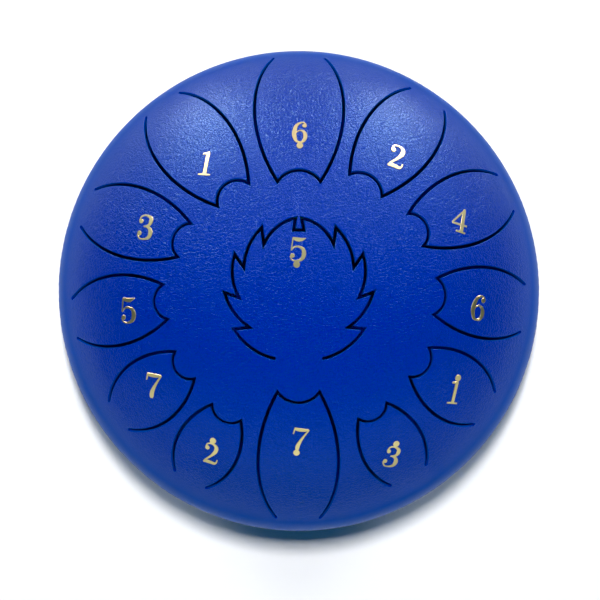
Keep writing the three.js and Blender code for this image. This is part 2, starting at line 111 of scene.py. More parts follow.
# tip and root are the arcs of a tongue's two ends, and widths are its widths there. bow is how far its
# long sides swell, and notch how deep its tip is hollowed.
Tongue = namedtuple("Tongue", "note angle tip root widths bow notch")
RING_TONGUES = [
    Tongue("low6", 89.8, 61.5, 161.5, (26, 35.5), 13, 7.3),
    Tongue("low7", 269.7, 66.5, 160, (25.5, 29.5), 11.7, 6.7),
    Tongue("1", 126.6, 67, 158.5, (23.5, 28), 12.8, 8.4),
    Tongue("2", 55.5, 72.5, 158.5, (24, 27.5), 11.2, 6.8),
    Tongue("3", 159.4, 75, 154.5, (22, 26.5), 10.7, 7.3),
    Tongue("4", 24.4, 79, 157, (22, 26.5), 11, 7.7),
    Tongue("5", 187.9, 83, 155, (21.5, 26.5), 10.4, 7.3),
    Tongue("6", 354.4, 84.5, 153.5, (22.5, 32), 9, 6.6),
    Tongue("7", 215.6, 86.5, 149, (20.5, 22.5), 10.7, 7.1),
    Tongue("high1", 326.6, 89, 149.5, (21.5, 25.5), 9.9, 6.8),
    Tongue("high2", 240.6, 91.5, 148.5, (20.5, 23), 9.4, 6.2),
    Tongue("high3", 299.9, 91, 146, (20, 26.5), 8.6, 6.1),
]

# Half of the leaf's outline, from the notch at its tip to its root: corner and the rise of the arc to it.
LEAF_HALF = [
    (3.05, 31.3, 0), (1.85, 38.5, 0), (20.9, 22.8, 3.1), (22.4, 32.9, 0), (33.1, 8.9, 2.5), (38.6, 16.8, 0),
    (36.0, -9.2, 2.7), (44.9, -6.1, 0), (29.8, -27.1, 2.2), (39.3, -28.1, 0), (13.9, -46.1, 3.2),
]
LEAF_TIP = 31.3
LEAF_ROOT = -46

# Number stickers
PLAIN_DIGIT = 16
DOTTED_DIGIT = 15
DOT_RADIUS = 2.05
DOT_OVERLAP = 0.5
STICKER_FOOT = -0.05
STICKER_SHOULDER = 0.14
STICKER_TOP = 0.3
STICKER_BEVEL = 0.17
STICKER_SHARP_ANGLE = math.radians(25)
STROKE_STEPS = 7
BALL_STEPS = 28

# lean is clockwise in degrees. dot is -1 for a dot below, 1 for one above and 0 for none, and dot_x is
# how far it stands to the right of the digit's middle.
Sticker = namedtuple("Sticker", "note digit arc angle lean dot dot_x")
STICKERS = [
    Sticker("low5", 5, 19.5, 91, 3, -1, -0.5),
    Sticker("low6", 6, 94, 89.5, 2, -1, 0.2),
    Sticker("low7", 7, 96.3, 270.4, 7, -1, -1.2),
    Sticker("1", 1, 94.4, 127.5, 5, 0, 0),
    Sticker("2", 2, 100.2, 52.5, 17, 0, 0),
    Sticker("3", 3, 102.3, 159.6, 2, 0, 0),
    Sticker("4", 4, 109, 21.7, 15, 0, 0),
    Sticker("5", 5, 108.1, 188.7, 1, 0, 0),
    Sticker("6", 6, 114.3, 352.4, 9, 0, 0),
    Sticker("7", 7, 111.4, 214.9, 10, 0, 0),
    Sticker("high1", 1, 120.2, 325.2, 4, 1, 0.4),
    Sticker("high2", 2, 121, 242.3, 15, 1, 0.5),
    Sticker("high3", 3, 124.8, 298.2, 7, 1, 0.4),
]

# Digits as brush strokes on a body 16 mm high: x, y and the width of the stroke there, then the balls
# that strokes end in: x, y and radius.
DIGITS = {
    1: ([
        [(0.9, 7.9, 0.5), (0.5, 6.6, 2.1), (0.3, 4, 2.3), (0.2, -5.6, 2.4), (0.2, -7.4, 3.4)],
        [(0.9, 7.7, 0.5), (-0.9, 6.6, 1.4), (-3, 6.2, 1.2)],
        [(-3.9, -7.4, 1), (0, -7.3, 1.3), (3.9, -7.4, 1)],
    ], []),
    2: ([
        [(-3.7, 4.2, 0.9), (-2.6, 6.8, 1.1), (0.3, 7.4, 1.2), (3.2, 5.6, 2.4), (3.2, 2.4, 2.7),
         (0.9, -1.2, 1.8), (-2.4, -4.6, 1.2), (-4.3, -7.2, 0.9)],
        [(-4.3, -7.2, 1.2), (-2.4, -6.4, 2.4), (0.6, -6.7, 2.4), (3.2, -7, 1.8), (4.5, -5.6, 1),
         (4.8, -3.8, 0.8)],
    ], [(-2.5, 4, 1.5)]),
    3: ([
        [(-4.3, 4.1, 0.9), (-3, 6.7, 1.1), (-0.2, 7.4, 1.1), (3, 6, 2.2), (3.7, 3.8, 2.7), (2.8, 1.6, 2),
         (0.6, 0.6, 1.2), (-1, 0.5, 1)],
        [(-1, 0.5, 1), (1, 0.3, 1.3), (3.3, -1.2, 2.3), (4, -3.9, 2.9), (2.8, -6.4, 2.2), (-0.2, -7.4, 1.1),
         (-3.2, -6.8, 1), (-4.9, -4.2, 0.9)],
    ], [(-3, 3.8, 1.4), (-3.5, -3.6, 1.5)]),
    4: ([
        [(2.9, 7.6, 1), (-1, 2.4, 1.2), (-4.9, -2.8, 1.1)],
        [(-4.9, -2.9, 1.1), (0, -2.8, 1.3), (5.4, -2.7, 1.2)],
        [(2.7, 7.6, 1), (2.3, 5.4, 2.2), (2.1, -5.8, 2.4), (2, -7.4, 3)],
        [(-1.6, -7.4, 1), (1.9, -7.3, 1.2), (5, -7.4, 1)],
    ], []),
    5: ([
        [(-3.9, 7.6, 0.7), (-1.8, 6.6, 2.4), (1.4, 6.4, 2.3), (4.6, 7.5, 0.5)],
        [(-3.7, 7.4, 0.9), (-4, 3.4, 0.9), (-4.4, -0.8, 0.9)],
        [(-4.4, -0.8, 0.8), (-2.8, 1.2, 0.9), (-0.2, 1.9, 1.2), (2.9, 0.4, 2.2), (3.8, -2.8, 2.9),
         (2.6, -6, 2.2), (-0.6, -7.4, 1.1), (-3.6, -6.9, 0.9), (-4.9, -4.6, 0.9)],
    ], [(-3.5, -4.1, 1.45)]),
    6: ([
        [(3.9, 5.4, 0.8), (2.9, 7, 0.9), (0.9, 7.4, 1.2), (-2, 5.4, 2.2), (-3.5, 1.2, 2.8),
         (-3.6, -2.4, 2.9), (-2.3, -6.2, 2), (0.2, -7.4, 1.1)],
        [(0.2, -7.4, 1.1), (2.6, -6.2, 2), (3.6, -2.9, 2.7), (2.7, 0.2, 2.1), (0.5, 1.4, 1.1),
         (-1.6, 0.6, 0.9), (-3.2, -1.4, 0.8)],
    ], [(2.8, 5.1, 1.5)]),
    7: ([
        [(-4.3, 7.7, 0.7), (-4.5, 5.6, 1.1), (-4.9, 3.2, 0.8)],
        [(-4.3, 6.9, 1.8), (-1.6, 6.6, 2.4), (1.6, 6.6, 2.2), (4.7, 7, 1.3)],
        [(4.9, 7.1, 1), (2.6, 3.4, 1.3), (0.4, -0.8, 2), (-0.9, -4.2, 2.7), (-1.2, -6.6, 2.7),
         (-1.2, -8, 1.5)],
    ], []),
}

# Feet and fasteners. A cross recess is given by half the width of its arms and by their reach.
FOOT_NUMBERS = (1, 2, 3)
BORE_RADIUS = 2.9
BORE_SEGMENTS = 24
FOOT_TAPER = 2
RECESS_RADIUS = 6.4
RECESS_DEPTH = 7
WASHER_ROUNDING = 0.3
NUT_FACE = 0.96
NUT_CHAMFER = math.radians(30)
NUT_SHARP_ANGLE = math.radians(20)
THREAD_CHAMFER = 0.4
THREAD_PITCH = 0.8
THREAD_DEPTH = 0.42
TURNED_SEGMENTS = 96
SCREW_SEGMENTS = 48
HEAD_HEIGHT = 3
HEAD_ROUNDING = 1.6
HEAD_CROWN = 1.9
SHANK_RADIUS = 2.5
PLAIN_SHANK = 2.4
SCREW_TIP = 0.6
CROSS_DEPTH = 1.9
CROSS_MOUTH = (0.75, 2.3)
CROSS_FLOOR = (0.4, 1.4)

# Finishes, in linear colour
BLUE = (0.0014, 0.006, 0.23)
# A lighter, greener blue that the paint turns to towards the rim: a painted reflection
BLUE_WITH_PAINTED_RIM_REFLECTION = (0.001, 0.06, 0.37)
GOLD = (0.48, 0.42, 0.2)
RUBBER = (0.012, 0.012, 0.013)
ZINC = (0.56, 0.57, 0.58)
PAPER = (1, 1, 1)
PAINT_HIGHLIGHT = (0.3, 0.78, 1, 1)
GRAIN_SIZE = 1.7

# Camera in millimetres but for its clipping, then the lights and half the side of the floor in metres
CAMERA_DISTANCE = 1400
CAMERA_CLIP = (0.05, 50)
CAMERA_ELEVATION = math.radians(86.8)
CAMERA_LENS = 132.4
CAMERA_ROLL = math.radians(0.45)
CAMERA_AIM = (0.7, -6.5)
LIGHT_DISTANCE = 2.0
FLOOR_HALF = 6
HORIZON_GLOW = 0.38
SKY_GLOW = 0.02
SKY_COLOUR = (0.55, 0.85, 1, 1)
SHADOW_RED = 0.012


# -------------------- flat drawing helpers

def left_of(way):
    return np.stack([-way[..., 1], way[..., 0]], axis=-1)


def unit(vectors):
    return vectors / np.linalg.norm(vectors, axis=-1, keepdims=True)


def turned_by(points, angle):
    c, s = math.cos(angle), math.sin(angle)
    return np.asarray(points, float) @ np.array([[c, s], [-s, c]])


def arc_between(start, end, rise):
    """Points from start to just before end, on the arc whose middle stands rise to the right of the way."""
    start, end = np.array(start, float), np.array(end, float)
    way = end - start
    length = np.linalg.norm(way)
    steps = max(1, round(length / CURVE_STEP))
    if rise == 0:
        return [start + way * i / steps for i in range(steps)]
    right = -left_of(way / length)
    radius = (length ** 2 / 4 + rise ** 2) / (2 * rise)
    centre = (start + end) / 2 + right * (rise - radius)
    sweep = 2 * math.asin(length / 2 / radius)
    return [centre + turned_by(start - centre, sweep * i / steps) for i in range(steps)]


def mitres(path):
    """At each point of an open path, the vector that moves both its edges one unit to the left."""
    normals = left_of(unit(np.diff(path, axis=0)))
    before = np.vstack([normals[:1], normals])
    after = np.vstack([normals, normals[-1:]])
    return (before + after) / (1 + (before * after).sum(1))[:, None]


def distance_to(points, line):
    """Distance of each point to the nearest segment of an open line."""
    starts, ways = line[:-1], np.diff(line, axis=0)
    offsets = points[:, None] - starts[None]
    along = np.clip((offsets * ways).sum(2) / np.maximum((ways * ways).sum(1), 1e-12), 0, 1)
    return np.linalg.norm(offsets - along[..., None] * ways, axis=2).min(1)


def inside(points, polygon):
    x, y = points[:, None, 0], points[:, None, 1]
    ax, ay = polygon[:, 0], polygon[:, 1]
    bx, by = np.roll(ax, -1), np.roll(ay, -1)
    crosses = (ay > y) != (by > y)
    with np.errstate(divide="ignore", invalid="ignore"):
        reach = ax + (y - ay) / (by - ay) * (bx - ax)
    return (crosses & (x < reach)).sum(1) % 2 == 1


def closed(loop):
    return np.vstack([loop, loop[:1]])


def circle(radius, count, centre=(0, 0)):
    angles = 2 * math.pi * np.arange(count) / count
    return np.array(centre) + radius * np.stack([np.cos(angles), np.sin(angles)], axis=1)


def grid_inside(outline, holes):
    """Even points inside an outline and outside its holes, clear of both."""
    low, high = outline.min(0), outline.max(0)
    rows = np.arange(low[1], high[1], GRID * math.sqrt(3) / 2)
    columns = np.arange(low[0], high[0], GRID)
    points = np.array([(x + GRID / 2 * (i % 2), y) for i, y in enumerate(rows) for x in columns])
    points = points[inside(points, outline)]
    points = points[distance_to(points, closed(outline)) > GRID_MARGIN]
    for hole in holes:
        points = points[~inside(points, hole)]
        points = points[distance_to(points, closed(hole)) > GRID_MARGIN]
    return points


# -------------------- sections of the two shells

class Section:
    """A shell's outer profile from its axis outwards, looked up by the distance along it."""

    def __init__(self, radius, height, normal_out, normal_up):
        steps = np.hypot(np.diff(radius), np.diff(height))
        self.arc = np.concatenate([[0], np.cumsum(steps)])
        self.columns = (radius, height, normal_out, normal_up)

    @property
    def rim(self):
        return self.arc[-1]

    def at(self, flat):
        arc = np.hypot(flat[:, 0], flat[:, 1])
        angle = np.arctan2(flat[:, 1], flat[:, 0])
        return angle, [np.interp(arc, self.arc, column) for column in self.columns]

    def lay(self, flat, lift):
        angle, (radius, height, out, up) = self.at(flat)
        radius = radius + lift * out
        return np.stack([radius * np.cos(angle), radius * np.sin(angle), height + lift * up], axis=1)

    def normals(self, flat, lean):
        """Skin normals that lean along the flat vectors lean, each as long as the sine of its turn."""
        angle, (_, _, out, up) = self.at(flat)
        c, s = np.cos(angle), np.sin(angle)
        normal = np.stack([out * c, out * s, up], axis=1)
        outward = np.stack([up * c, up * s, -out], axis=1)
        around = np.stack([-s, c, np.zeros_like(s)], axis=1)
        lean_out = (lean[:, 0] * c + lean[:, 1] * s)[:, None]
        lean_around = (lean[:, 1] * c - lean[:, 0] * s)[:, None]
        upright = np.sqrt(np.maximum(0, 1 - (lean * lean).sum(1)))[:, None]
        return unit(normal * upright + outward * lean_out * np.sign(up.mean()) + around * lean_around)


def crown_section():
    tilt = np.linspace(0, math.acos(RIM_HALF_GAP / CROWN_HEIGHT), PROFILE_STEPS)
    across, along = CROWN_HEIGHT * np.sin(tilt), SHELL_RADIUS * np.cos(tilt)
    length = np.hypot(across, along)
    return Section(SHELL_RADIUS * np.sin(tilt), EQUATOR_Z + CROWN_HEIGHT * np.cos(tilt),
                   across / length, along / length)


def bowl_section():
    """A flat base, a round shoulder, and the crown's ellipse again up to the rim."""
    across, down = CROWN_HEIGHT * math.cos(BOWL_TANGENT), SHELL_RADIUS * math.sin(BOWL_TANGENT)
    length = math.hypot(across, down)
    depth = EQUATOR_Z - BASE_Z
    shoulder = (depth - CROWN_HEIGHT * math.sin(BOWL_TANGENT)) / (1 - down / length)
    shoulder_x = SHELL_RADIUS * math.cos(BOWL_TANGENT) - shoulder * across / length
    turn = np.linspace(math.pi / 2, math.atan2(down, across), SHOULDER_STEPS)
    dip = np.linspace(BOWL_TANGENT, math.asin(RIM_HALF_GAP / CROWN_HEIGHT), PROFILE_STEPS // 2)[1:]
    dip_out, dip_down = CROWN_HEIGHT * np.cos(dip), SHELL_RADIUS * np.sin(dip)
    dip_length = np.hypot(dip_out, dip_down)
    radius = [[0], shoulder_x + shoulder * np.cos(turn), SHELL_RADIUS * np.cos(dip)]
    height = [[BASE_Z], BASE_Z + shoulder * (1 - np.sin(turn)), EQUATOR_Z - CROWN_HEIGHT * np.sin(dip)]
    out = [[0], np.cos(turn), dip_out / dip_length]
    up = [[-1], -np.sin(turn), -dip_down / dip_length]
    return Section(*(np.concatenate(parts) for parts in (radius, height, out, up))), shoulder_x


CROWN = crown_section()
BOWL, BASE_RADIUS = bowl_section()


# -------------------- meshes

def make_piece(name, points, faces, material, normals=None, sharp=SHARP_ANGLE):
    """A mesh object from points in millimetres. normals has one vector per face corner, 0 to leave it."""
    mesh = bpy.data.meshes.new(name)
    mesh.from_pydata((np.asarray(points) * MM).tolist(), [], faces)
    mesh.polygons.foreach_set("use_smooth", [True] * len(mesh.polygons))
    mesh.set_sharp_from_angle(angle=sharp)
    if normals is not None:
        mesh.normals_split_custom_set(normals)
    mesh.materials.append(material)
    piece = bpy.data.objects.new(name, mesh)
    bpy.context.scene.collection.objects.link(piece)
    return piece


def on_body(piece, node):
    """Makes a piece part of the drum's body, in place of a CAD node."""
    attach(piece, "drum_body")
    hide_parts(node)


class Sheet:
    """A sheet of metal in its flat layout: points with the drop and lean of their skin, and faces."""

    def __init__(self, rounding=EDGE_ROUNDING):
        self.rounding = rounding
        self.points, self.drops, self.leans, self.faces = [], [], [], []

    def add(self, points, drop=0.0, lean=None):
        first = len(self.points)
        self.points.extend(points)
        self.drops.extend([drop] * len(points))
        self.leans.extend(np.zeros((len(points), 2)) if lean is None else lean)
        return list(range(first, len(self.points)))

    def strips(self, rings, closed_up=False):
        """Faces between each ring of points and the next."""
        for inner, outer in zip(rings, rings[1:]):
            for i in range(len(inner) if closed_up else len(inner) - 1):
                j = (i + 1) % len(inner)
                self.faces.append([inner[i], inner[j], outer[j], outer[i]])

    def rounded_edge(self, ring_at, closed_up=False):
        """A rounded edge, of which it returns the ring on the skin. ring_at(inset) gives a ring's points
        and the flat ways from them to the gap."""
        rings = []
        for turn in EDGE_TURNS:
            inset = self.rounding * (1 - math.sin(turn))
            points, ways = ring_at(inset)
            rings.append(self.add(points, self.rounding * (1 - math.cos(turn)), ways * math.sin(turn)))
        self.strips(rings, closed_up)
        return rings[-1]

    def fill(self, outline, holes):
        """Triangles between an outline and its holes, all loops of point numbers."""
        loops = [outline, *holes]
        shapes = [np.array([self.points[i] for i in loop]) for loop in loops]
        extra = self.add(grid_inside(shapes[0], shapes[1:]))
        used = [i for loop in loops for i in loop] + extra
        place = {number: k for k, number in enumerate(used)}
        found = delaunay_2d_cdt([Vector(self.points[i]) for i in used], [],
                                [[place[i] for i in loop] for loop in loops], 1, 1e-6)
        corners, _, triangles, origins, _, owners = found
        numbers = [used[origin[0]] if origin else self.add([np.array(corners[k])])[0]
                   for k, origin in enumerate(origins)]
        for triangle, owner in zip(triangles, owners):
            if owner == [0]:
                self.faces.append([numbers[k] for k in triangle])

    def solid(self, name, section, material):
        """The sheet with its thickness, laid on a section."""
        flat, lean = np.array(self.points), np.array(self.leans)
        faces = []
        for face in self.faces:
            x, y = flat[face].T
            area = (x * np.roll(y, -1) - np.roll(x, -1) * y).sum()
            faces.append(face if area > 0 else face[::-1])
        if section is BOWL:
            faces = [face[::-1] for face in faces]
        count = len(flat)
        ways = dict.fromkeys(way for face in faces for way in zip(face, face[1:] + face[:1]))
        walls = [[b, a, a + count, b + count] for a, b in ways if (b, a) not in ways]
        backs = [[i + count for i in reversed(face)] for face in faces]
        points = np.vstack([section.lay(flat, -np.array(self.drops)), section.lay(flat, -WALL)])
        skin = section.normals(flat, lean)
        plain = section.normals(flat, np.zeros_like(lean))
        normals = [tuple(skin[i]) for face in faces for i in face]
        normals += [tuple(-plain[i - count]) for face in backs for i in face]
        normals += [(0, 0, 0)] * (4 * len(walls))
        return make_piece(name, points, faces + backs + walls, material, normals)


# -------------------- slots and tongues

class Slot:
    """The middle line of a slot, with the tongue on its left, and the edges beside it."""

    def __init__(self, path, corners):
        path = self.without_crowding(np.array(path), corners)
        self.path = path
        self.mitres = mitres(path)
        self.ways = unit(np.diff(path, axis=0))[[0, -1]]
        self.caps = [path[0] + self.ways[0] * SLOT_WIDTH / 2, path[-1] - self.ways[1] * SLOT_WIDTH / 2]

    @staticmethod
    def without_crowding(path, corners):
        """Leaves out the points whose offsets would cross the next edge at a sharp corner."""
        reach = SLOT_WIDTH / 2 + EDGE_ROUNDING
        turn = mitres(path) * reach
        room = np.minimum(distance_to(path + turn, path), distance_to(path - turn, path))
        clear = room > LEAST_CLEARANCE * reach
        kept = [i for i in range(len(path)) if clear[i] or i in (0, len(path) - 1) or i in corners]
        return path[kept]

    def tongue_side(self, inset):
        reach = SLOT_WIDTH / 2 + inset
        ends = left_of(self.ways)
        points = np.vstack([self.caps[0] + ends[0] * reach, self.path[1:-1] + self.mitres[1:-1] * reach,
                            self.caps[1] + ends[1] * reach])
        return points, -unit(np.vstack([ends[:1], self.mitres[1:-1], ends[1:]]))

    def shell_side(self, inset):
        reach = SLOT_WIDTH / 2 + inset
        half_turns = [math.pi * i / CAP_STEPS for i in range(CAP_STEPS + 1)]
        first = np.array([turned_by(left_of(self.ways[0]), turn) for turn in half_turns])
        last = np.array([turned_by(-left_of(self.ways[1]), turn) for turn in half_turns])
        points = np.vstack([self.caps[0] + first * reach, self.path[1:-1] - self.mitres[1:-1] * reach,
                            self.caps[1] + last * reach])
        return points, -unit(np.vstack([first, -self.mitres[1:-1], last]))

    def root_line(self):
        """Points between the tongue's two root corners, from the path's end to its start."""
        points = self.tongue_side(EDGE_ROUNDING)[0]
        start, end = points[-1], points[0]
        steps = max(2, round(np.linalg.norm(end - start) / GRID))
        return [start + (end - start) * i / steps for i in range(1, steps)]


def ring_slot(tongue):
    tip_half, root_half = (width / 2 for width in tongue.widths)
    side = arc_between((tongue.root, root_half), (tongue.tip, tip_half), tongue.bow)
    middle = arc_between((tongue.tip, tip_half), (tongue.tip, -tip_half), -tongue.notch)
    back = arc_between((tongue.tip, -tip_half), (tongue.root, -root_half), tongue.bow)
    path = side + middle + back + [np.array([tongue.root, -root_half])]
    corners = {len(side), len(side) + len(middle)}
    return Slot(turned_by(path, math.radians(tongue.angle)), corners)


def leaf_slot():
    places = [np.array(corner[:2]) for corner in LEAF_HALF]
    rises = [corner[2] for corner in LEAF_HALF]
    path, corners = [], set()
    for i in range(len(places) - 1, 0, -1):
        corners.add(len(path))
        path += arc_between(places[i], places[i - 1], rises[i])
    corners.add(len(path))
    path += arc_between(places[0], places[0] * (-1, 1), 0)
    for i in range(1, len(places)):
        corners.add(len(path))
        path += arc_between(places[i - 1] * (-1, 1), places[i] * (-1, 1), rises[i])
    path.append(places[-1] * (-1, 1))
    return Slot(path, corners)


def crown_point(x, y):
    return Vector(CROWN.lay(np.array([[x, y]], float), 0)[0] * MM)


def make_tongue(note, slot, start, end, paint):
    sheet = Sheet()
    edge = sheet.rounded_edge(slot.tongue_side)
    sheet.fill(edge + sheet.add(slot.root_line()), [])
    piece = sheet.solid(f"note_tongue_{note}", CROWN, paint)
    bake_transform(piece)
    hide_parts(f"tongue_{note}")


def outer_rings(sheet, start, section, steps):
    """Rings from a field's edge to the shell's rim. Returns the field's edge."""
    rings = [sheet.add(circle(arc, SEGMENTS)) for arc in np.linspace(start, section.rim, steps)]
    sheet.strips(rings, closed_up=True)
    return rings[0]


def make_upper_shell(slots, paint):
    sheet = Sheet()
    holes = []
    for slot in slots:
        edge = sheet.rounded_edge(slot.shell_side)
        holes.append(edge + sheet.add(slot.root_line()))
    sheet.fill(outer_rings(sheet, CROWN_FIELD, CROWN, CROWN_RINGS), holes)
    on_body(sheet.solid("shell_top", CROWN, paint), "upper_shell")


def make_lower_shell(paint):
    sheet = Sheet(SOUND_HOLE_ROUNDING)

    def hole_edge(inset):
        points = circle(SOUND_HOLE_RADIUS + inset, SEGMENTS // 2)
        return points, -unit(points)

    holes = [sheet.rounded_edge(hole_edge, closed_up=True)]
    for number in FOOT_NUMBERS:
        low, high = node_box(f"foot_{number}")
        holes.append(sheet.add(circle(BORE_RADIUS, BORE_SEGMENTS, (low[:2] + high[:2]) / 2)))
    sheet.fill(outer_rings(sheet, BASE_RADIUS, BOWL, BOWL_RINGS), holes)
    on_body(sheet.solid("shell_bottom", BOWL, paint), "lower_shell")


# -------------------- turned pieces

def rounded(corners, steps=5):
    """A closed outline of (radius, height) from corners (radius, height, rounding)."""
    points = []
    for i, (x, y, rounding) in enumerate(corners):
        here = Vector((x, y))
        if rounding == 0:
            points.append((x, y))
            continue
        back = (Vector(corners[i - 1][:2]) - here).normalized()
        ahead = (Vector(corners[(i + 1) % len(corners)][:2]) - here).normalized()
        half = back.angle(ahead) / 2
        centre = here + (back + ahead).normalized() * rounding / math.sin(half)
        first = here + back * rounding / math.tan(half) - centre
        last = here + ahead * rounding / math.tan(half) - centre
        start = math.atan2(first.y, first.x)
        sweep = (math.atan2(last.y, last.x) - start + math.pi) % (2 * math.pi) - math.pi
        for step in range(steps + 1):
            turn = start + sweep * step / steps
            points.append((centre.x + rounding * math.cos(turn), centre.y + rounding * math.sin(turn)))
    return points


def revolve(name, outline_at, centre, material, segments=TURNED_SEGMENTS, sharp=SHARP_ANGLE):
    """A ring whose closed outline of (radius, height), anticlockwise, may change with the angle."""
    points, faces = [], []
    for k in range(segments):
        angle = 2 * math.pi * k / segments
        c, s = math.cos(angle), math.sin(angle)
        for radius, height in outline_at(angle):
            points.append((centre[0] + radius * c, centre[1] + radius * s, height))
    count = len(points) // segments
    for k in range(segments):
        here, there = k * count, (k + 1) % segments * count
        for i in range(count):
            j = (i + 1) % count
            faces.append([here + i, there + i, there + j, here + j])
    piece = make_piece(name, points, faces, material, sharp=sharp)
    join_doubles(piece)
    return piece


def join_doubles(piece):
    """Joins points that fall together, such as those on the axis, and turns all faces outwards."""
    work = bmesh.new()
    work.from_mesh(piece.data)
    bmesh.ops.remove_doubles(work, verts=work.verts, dist=1e-7)
    bmesh.ops.recalc_face_normals(work, faces=work.faces)
    work.to_mesh(piece.data)
    work.free()


def make_weld(paint):
    """A low bead over the joint of the two rims, with the faint ripple of a weld under paint."""
    heights = np.linspace(-WELD_REACH, WELD_REACH, WELD_STEPS)

    def outline(angle):
        ripple = sum(size * math.sin(count * angle + shift) for size, count, shift in WELD_RIPPLES)
        points = []
        for height in heights:
            flank = SHELL_RADIUS * math.sqrt(1 - (height / CROWN_HEIGHT) ** 2)
            swell = (math.cos(math.pi * height / WELD_REACH) + 1) / 2
            points.append((flank - WELD_SINK + (WELD_CROWN + ripple) * swell, EQUATOR_Z + height))
        inner = SHELL_RADIUS - WALL - WELD_ROOT
        points += [(inner, EQUATOR_Z + WELD_REACH), (inner, EQUATOR_Z - WELD_REACH)]
        return points

    piece = revolve("weld_bead", outline, (0, 0), paint, segments=WELD_SEGMENTS)
    on_body(piece, "rim_weld")


def make_foot(number, centre, rubber):
    node = f"foot_{number}"
    low, high = node_box(node)
    radius, top = (high[0] - low[0]) / 2, high[2]
    outline = rounded([
        (BORE_RADIUS, RECESS_DEPTH, 0.3), (RECESS_RADIUS - 0.2, RECESS_DEPTH, 0.6),
        (RECESS_RADIUS + 0.2, 0, 0.7), (radius - FOOT_TAPER, 0, 1.6), (radius - 0.5, top - 3, 1.2),
        (radius, top - 2.2, 0.5), (radius, top, 0.5), (BORE_RADIUS, top, 0.3),
    ])
    on_body(revolve(f"bumper_{number}", lambda angle: outline, centre, rubber), node)


def make_washer(name, centre, zinc):
    node = f"foot_{name}"
    low, high = node_box(node)
    radius = (high[0] - low[0]) / 2
    edge = (high[2] - low[2]) * WASHER_ROUNDING
    corners = [(BORE_RADIUS, low[2]), (radius, low[2]), (radius, high[2]), (BORE_RADIUS, high[2])]
    outline = rounded([(*corner, edge) for corner in corners], 3)
    on_body(revolve(name, lambda angle: outline, centre, zinc), node)


def make_nut(number, centre, zinc):
    node = f"foot_nut_{number}"
    low, high = node_box(node)
    bottom, top = low[2], high[2]
    flats = (high[1] - low[1]) / 2
    face = flats * NUT_FACE
    bore = SHANK_RADIUS + 0.1
    mouth = bore + THREAD_CHAMFER

    def outline(angle):
        off_flat = angle % (math.pi / 3) - math.pi / 6
        edge = flats / math.cos(off_flat)
        fall = (edge - face) * math.tan(NUT_CHAMFER)
        return [(bore, bottom + THREAD_CHAMFER), (mouth, bottom), (face, bottom), (edge, bottom + fall),
                (edge, top - fall), (face, top), (mouth, top), (bore, top - THREAD_CHAMFER)]

    on_body(revolve(f"nut_{number}", outline, centre, zinc, sharp=NUT_SHARP_ANGLE), node)


def make_screw(number, centre, zinc):
    """A pan-head screw, head down, with a cross recess and a rolled thread."""
    node = f"foot_screw_{number}"
    low, high = node_box(node)
    bottom, tip = low[2], high[2]
    head_radius = (high[0] - low[0]) / 2
    head_top = bottom + HEAD_HEIGHT
    face_radius = head_radius - HEAD_ROUNDING
    points, faces, rings = [], [], []

    def add_rings(rows):
        for radius, height in rows:
            rings.append(len(points))
            points.extend((x, y, height) for x, y in circle(radius, SCREW_SEGMENTS))

    add_rings([(face_radius, bottom)])
    for step in range(1, 9):
        turn = math.pi / 2 * step / 8
        rise = HEAD_CROWN * (1 - math.cos(turn))
        add_rings([(face_radius + HEAD_ROUNDING * math.sin(turn), bottom + rise)])
    add_rings([(head_radius, head_top - 0.15), (head_radius - 0.15, head_top), (SHANK_RADIUS, head_top)])
    thread_start, thread_end = head_top + PLAIN_SHANK, tip - SCREW_TIP
    for height in np.arange(thread_start, thread_end, THREAD_PITCH / 10):
        rings.append(len(points))
        ease = min(1, (height - thread_start) / THREAD_PITCH, (thread_end - height) / THREAD_PITCH)
        for k, (x, y) in enumerate(circle(1, SCREW_SEGMENTS)):
            phase = (height / THREAD_PITCH - k / SCREW_SEGMENTS) % 1
            radius = SHANK_RADIUS - THREAD_DEPTH * abs(2 * phase - 1) * ease
            points.append((x * radius, y * radius, height))
    add_rings([(SHANK_RADIUS - 0.1, tip - 0.5), (SHANK_RADIUS - SCREW_TIP, tip), (0.01, tip)])
    for a, b in zip(rings, rings[1:]):
        for k in range(SCREW_SEGMENTS):
            j = (k + 1) % SCREW_SEGMENTS
            faces.append([a + k, a + j, b + j, b + k])
    add_cross_recess(points, faces, bottom)
    points = np.array(points) + (centre[0], centre[1], 0)
    piece = make_piece(f"screw_{number}", points, faces, zinc)
    join_doubles(piece)
    on_body(piece, node)


def cross_outline(half_width, reach):
    arm = [(half_width, -half_width), (reach, -half_width), (reach, half_width)]
    return [tuple(turned_by(corner, math.pi / 2 * quarter)) for quarter in range(4) for corner in arm]


def add_cross_recess(points, faces, height):
    """The head's face, from the first ring of points to a tapered cross-shaped recess, and the recess."""
    mouth, floor = cross_outline(*CROSS_MOUTH), cross_outline(*CROSS_FLOOR)
    first, rim, count = len(points), SCREW_SEGMENTS, len(mouth)
    points += [(x, y, height) for x, y in mouth] + [(x, y, height + CROSS_DEPTH) for x, y in floor]
    around = [point[:2] for point in points[:rim]]
    found = delaunay_2d_cdt([Vector(p) for p in around + mouth], [],
                            [list(range(rim)), list(range(rim, rim + count))], 1, 1e-6)
    for triangle, owner in zip(found[2], found[5]):
        if owner == [0]:
            numbers = [found[3][k][0] for k in triangle]
            faces.append([n if n < rim else first + n - rim for n in numbers])
    for k in range(count):
        j = (k + 1) % count
        faces.append([first + k, first + j, first + count + j, first + count + k])
    faces.append([first + count + k for k in range(count)])


def make_feet(rubber, zinc):
    for number in FOOT_NUMBERS:
        low, high = node_box(f"foot_{number}")
        centre = (low[:2] + high[:2]) / 2
        make_foot(number, centre, rubber)
        make_screw(number, centre, zinc)
        make_washer(f"cup_washer_{number}", centre, zinc)
        make_washer(f"inner_washer_{number}", centre, zinc)
        make_nut(number, centre, zinc)


# -------------------- number stickers

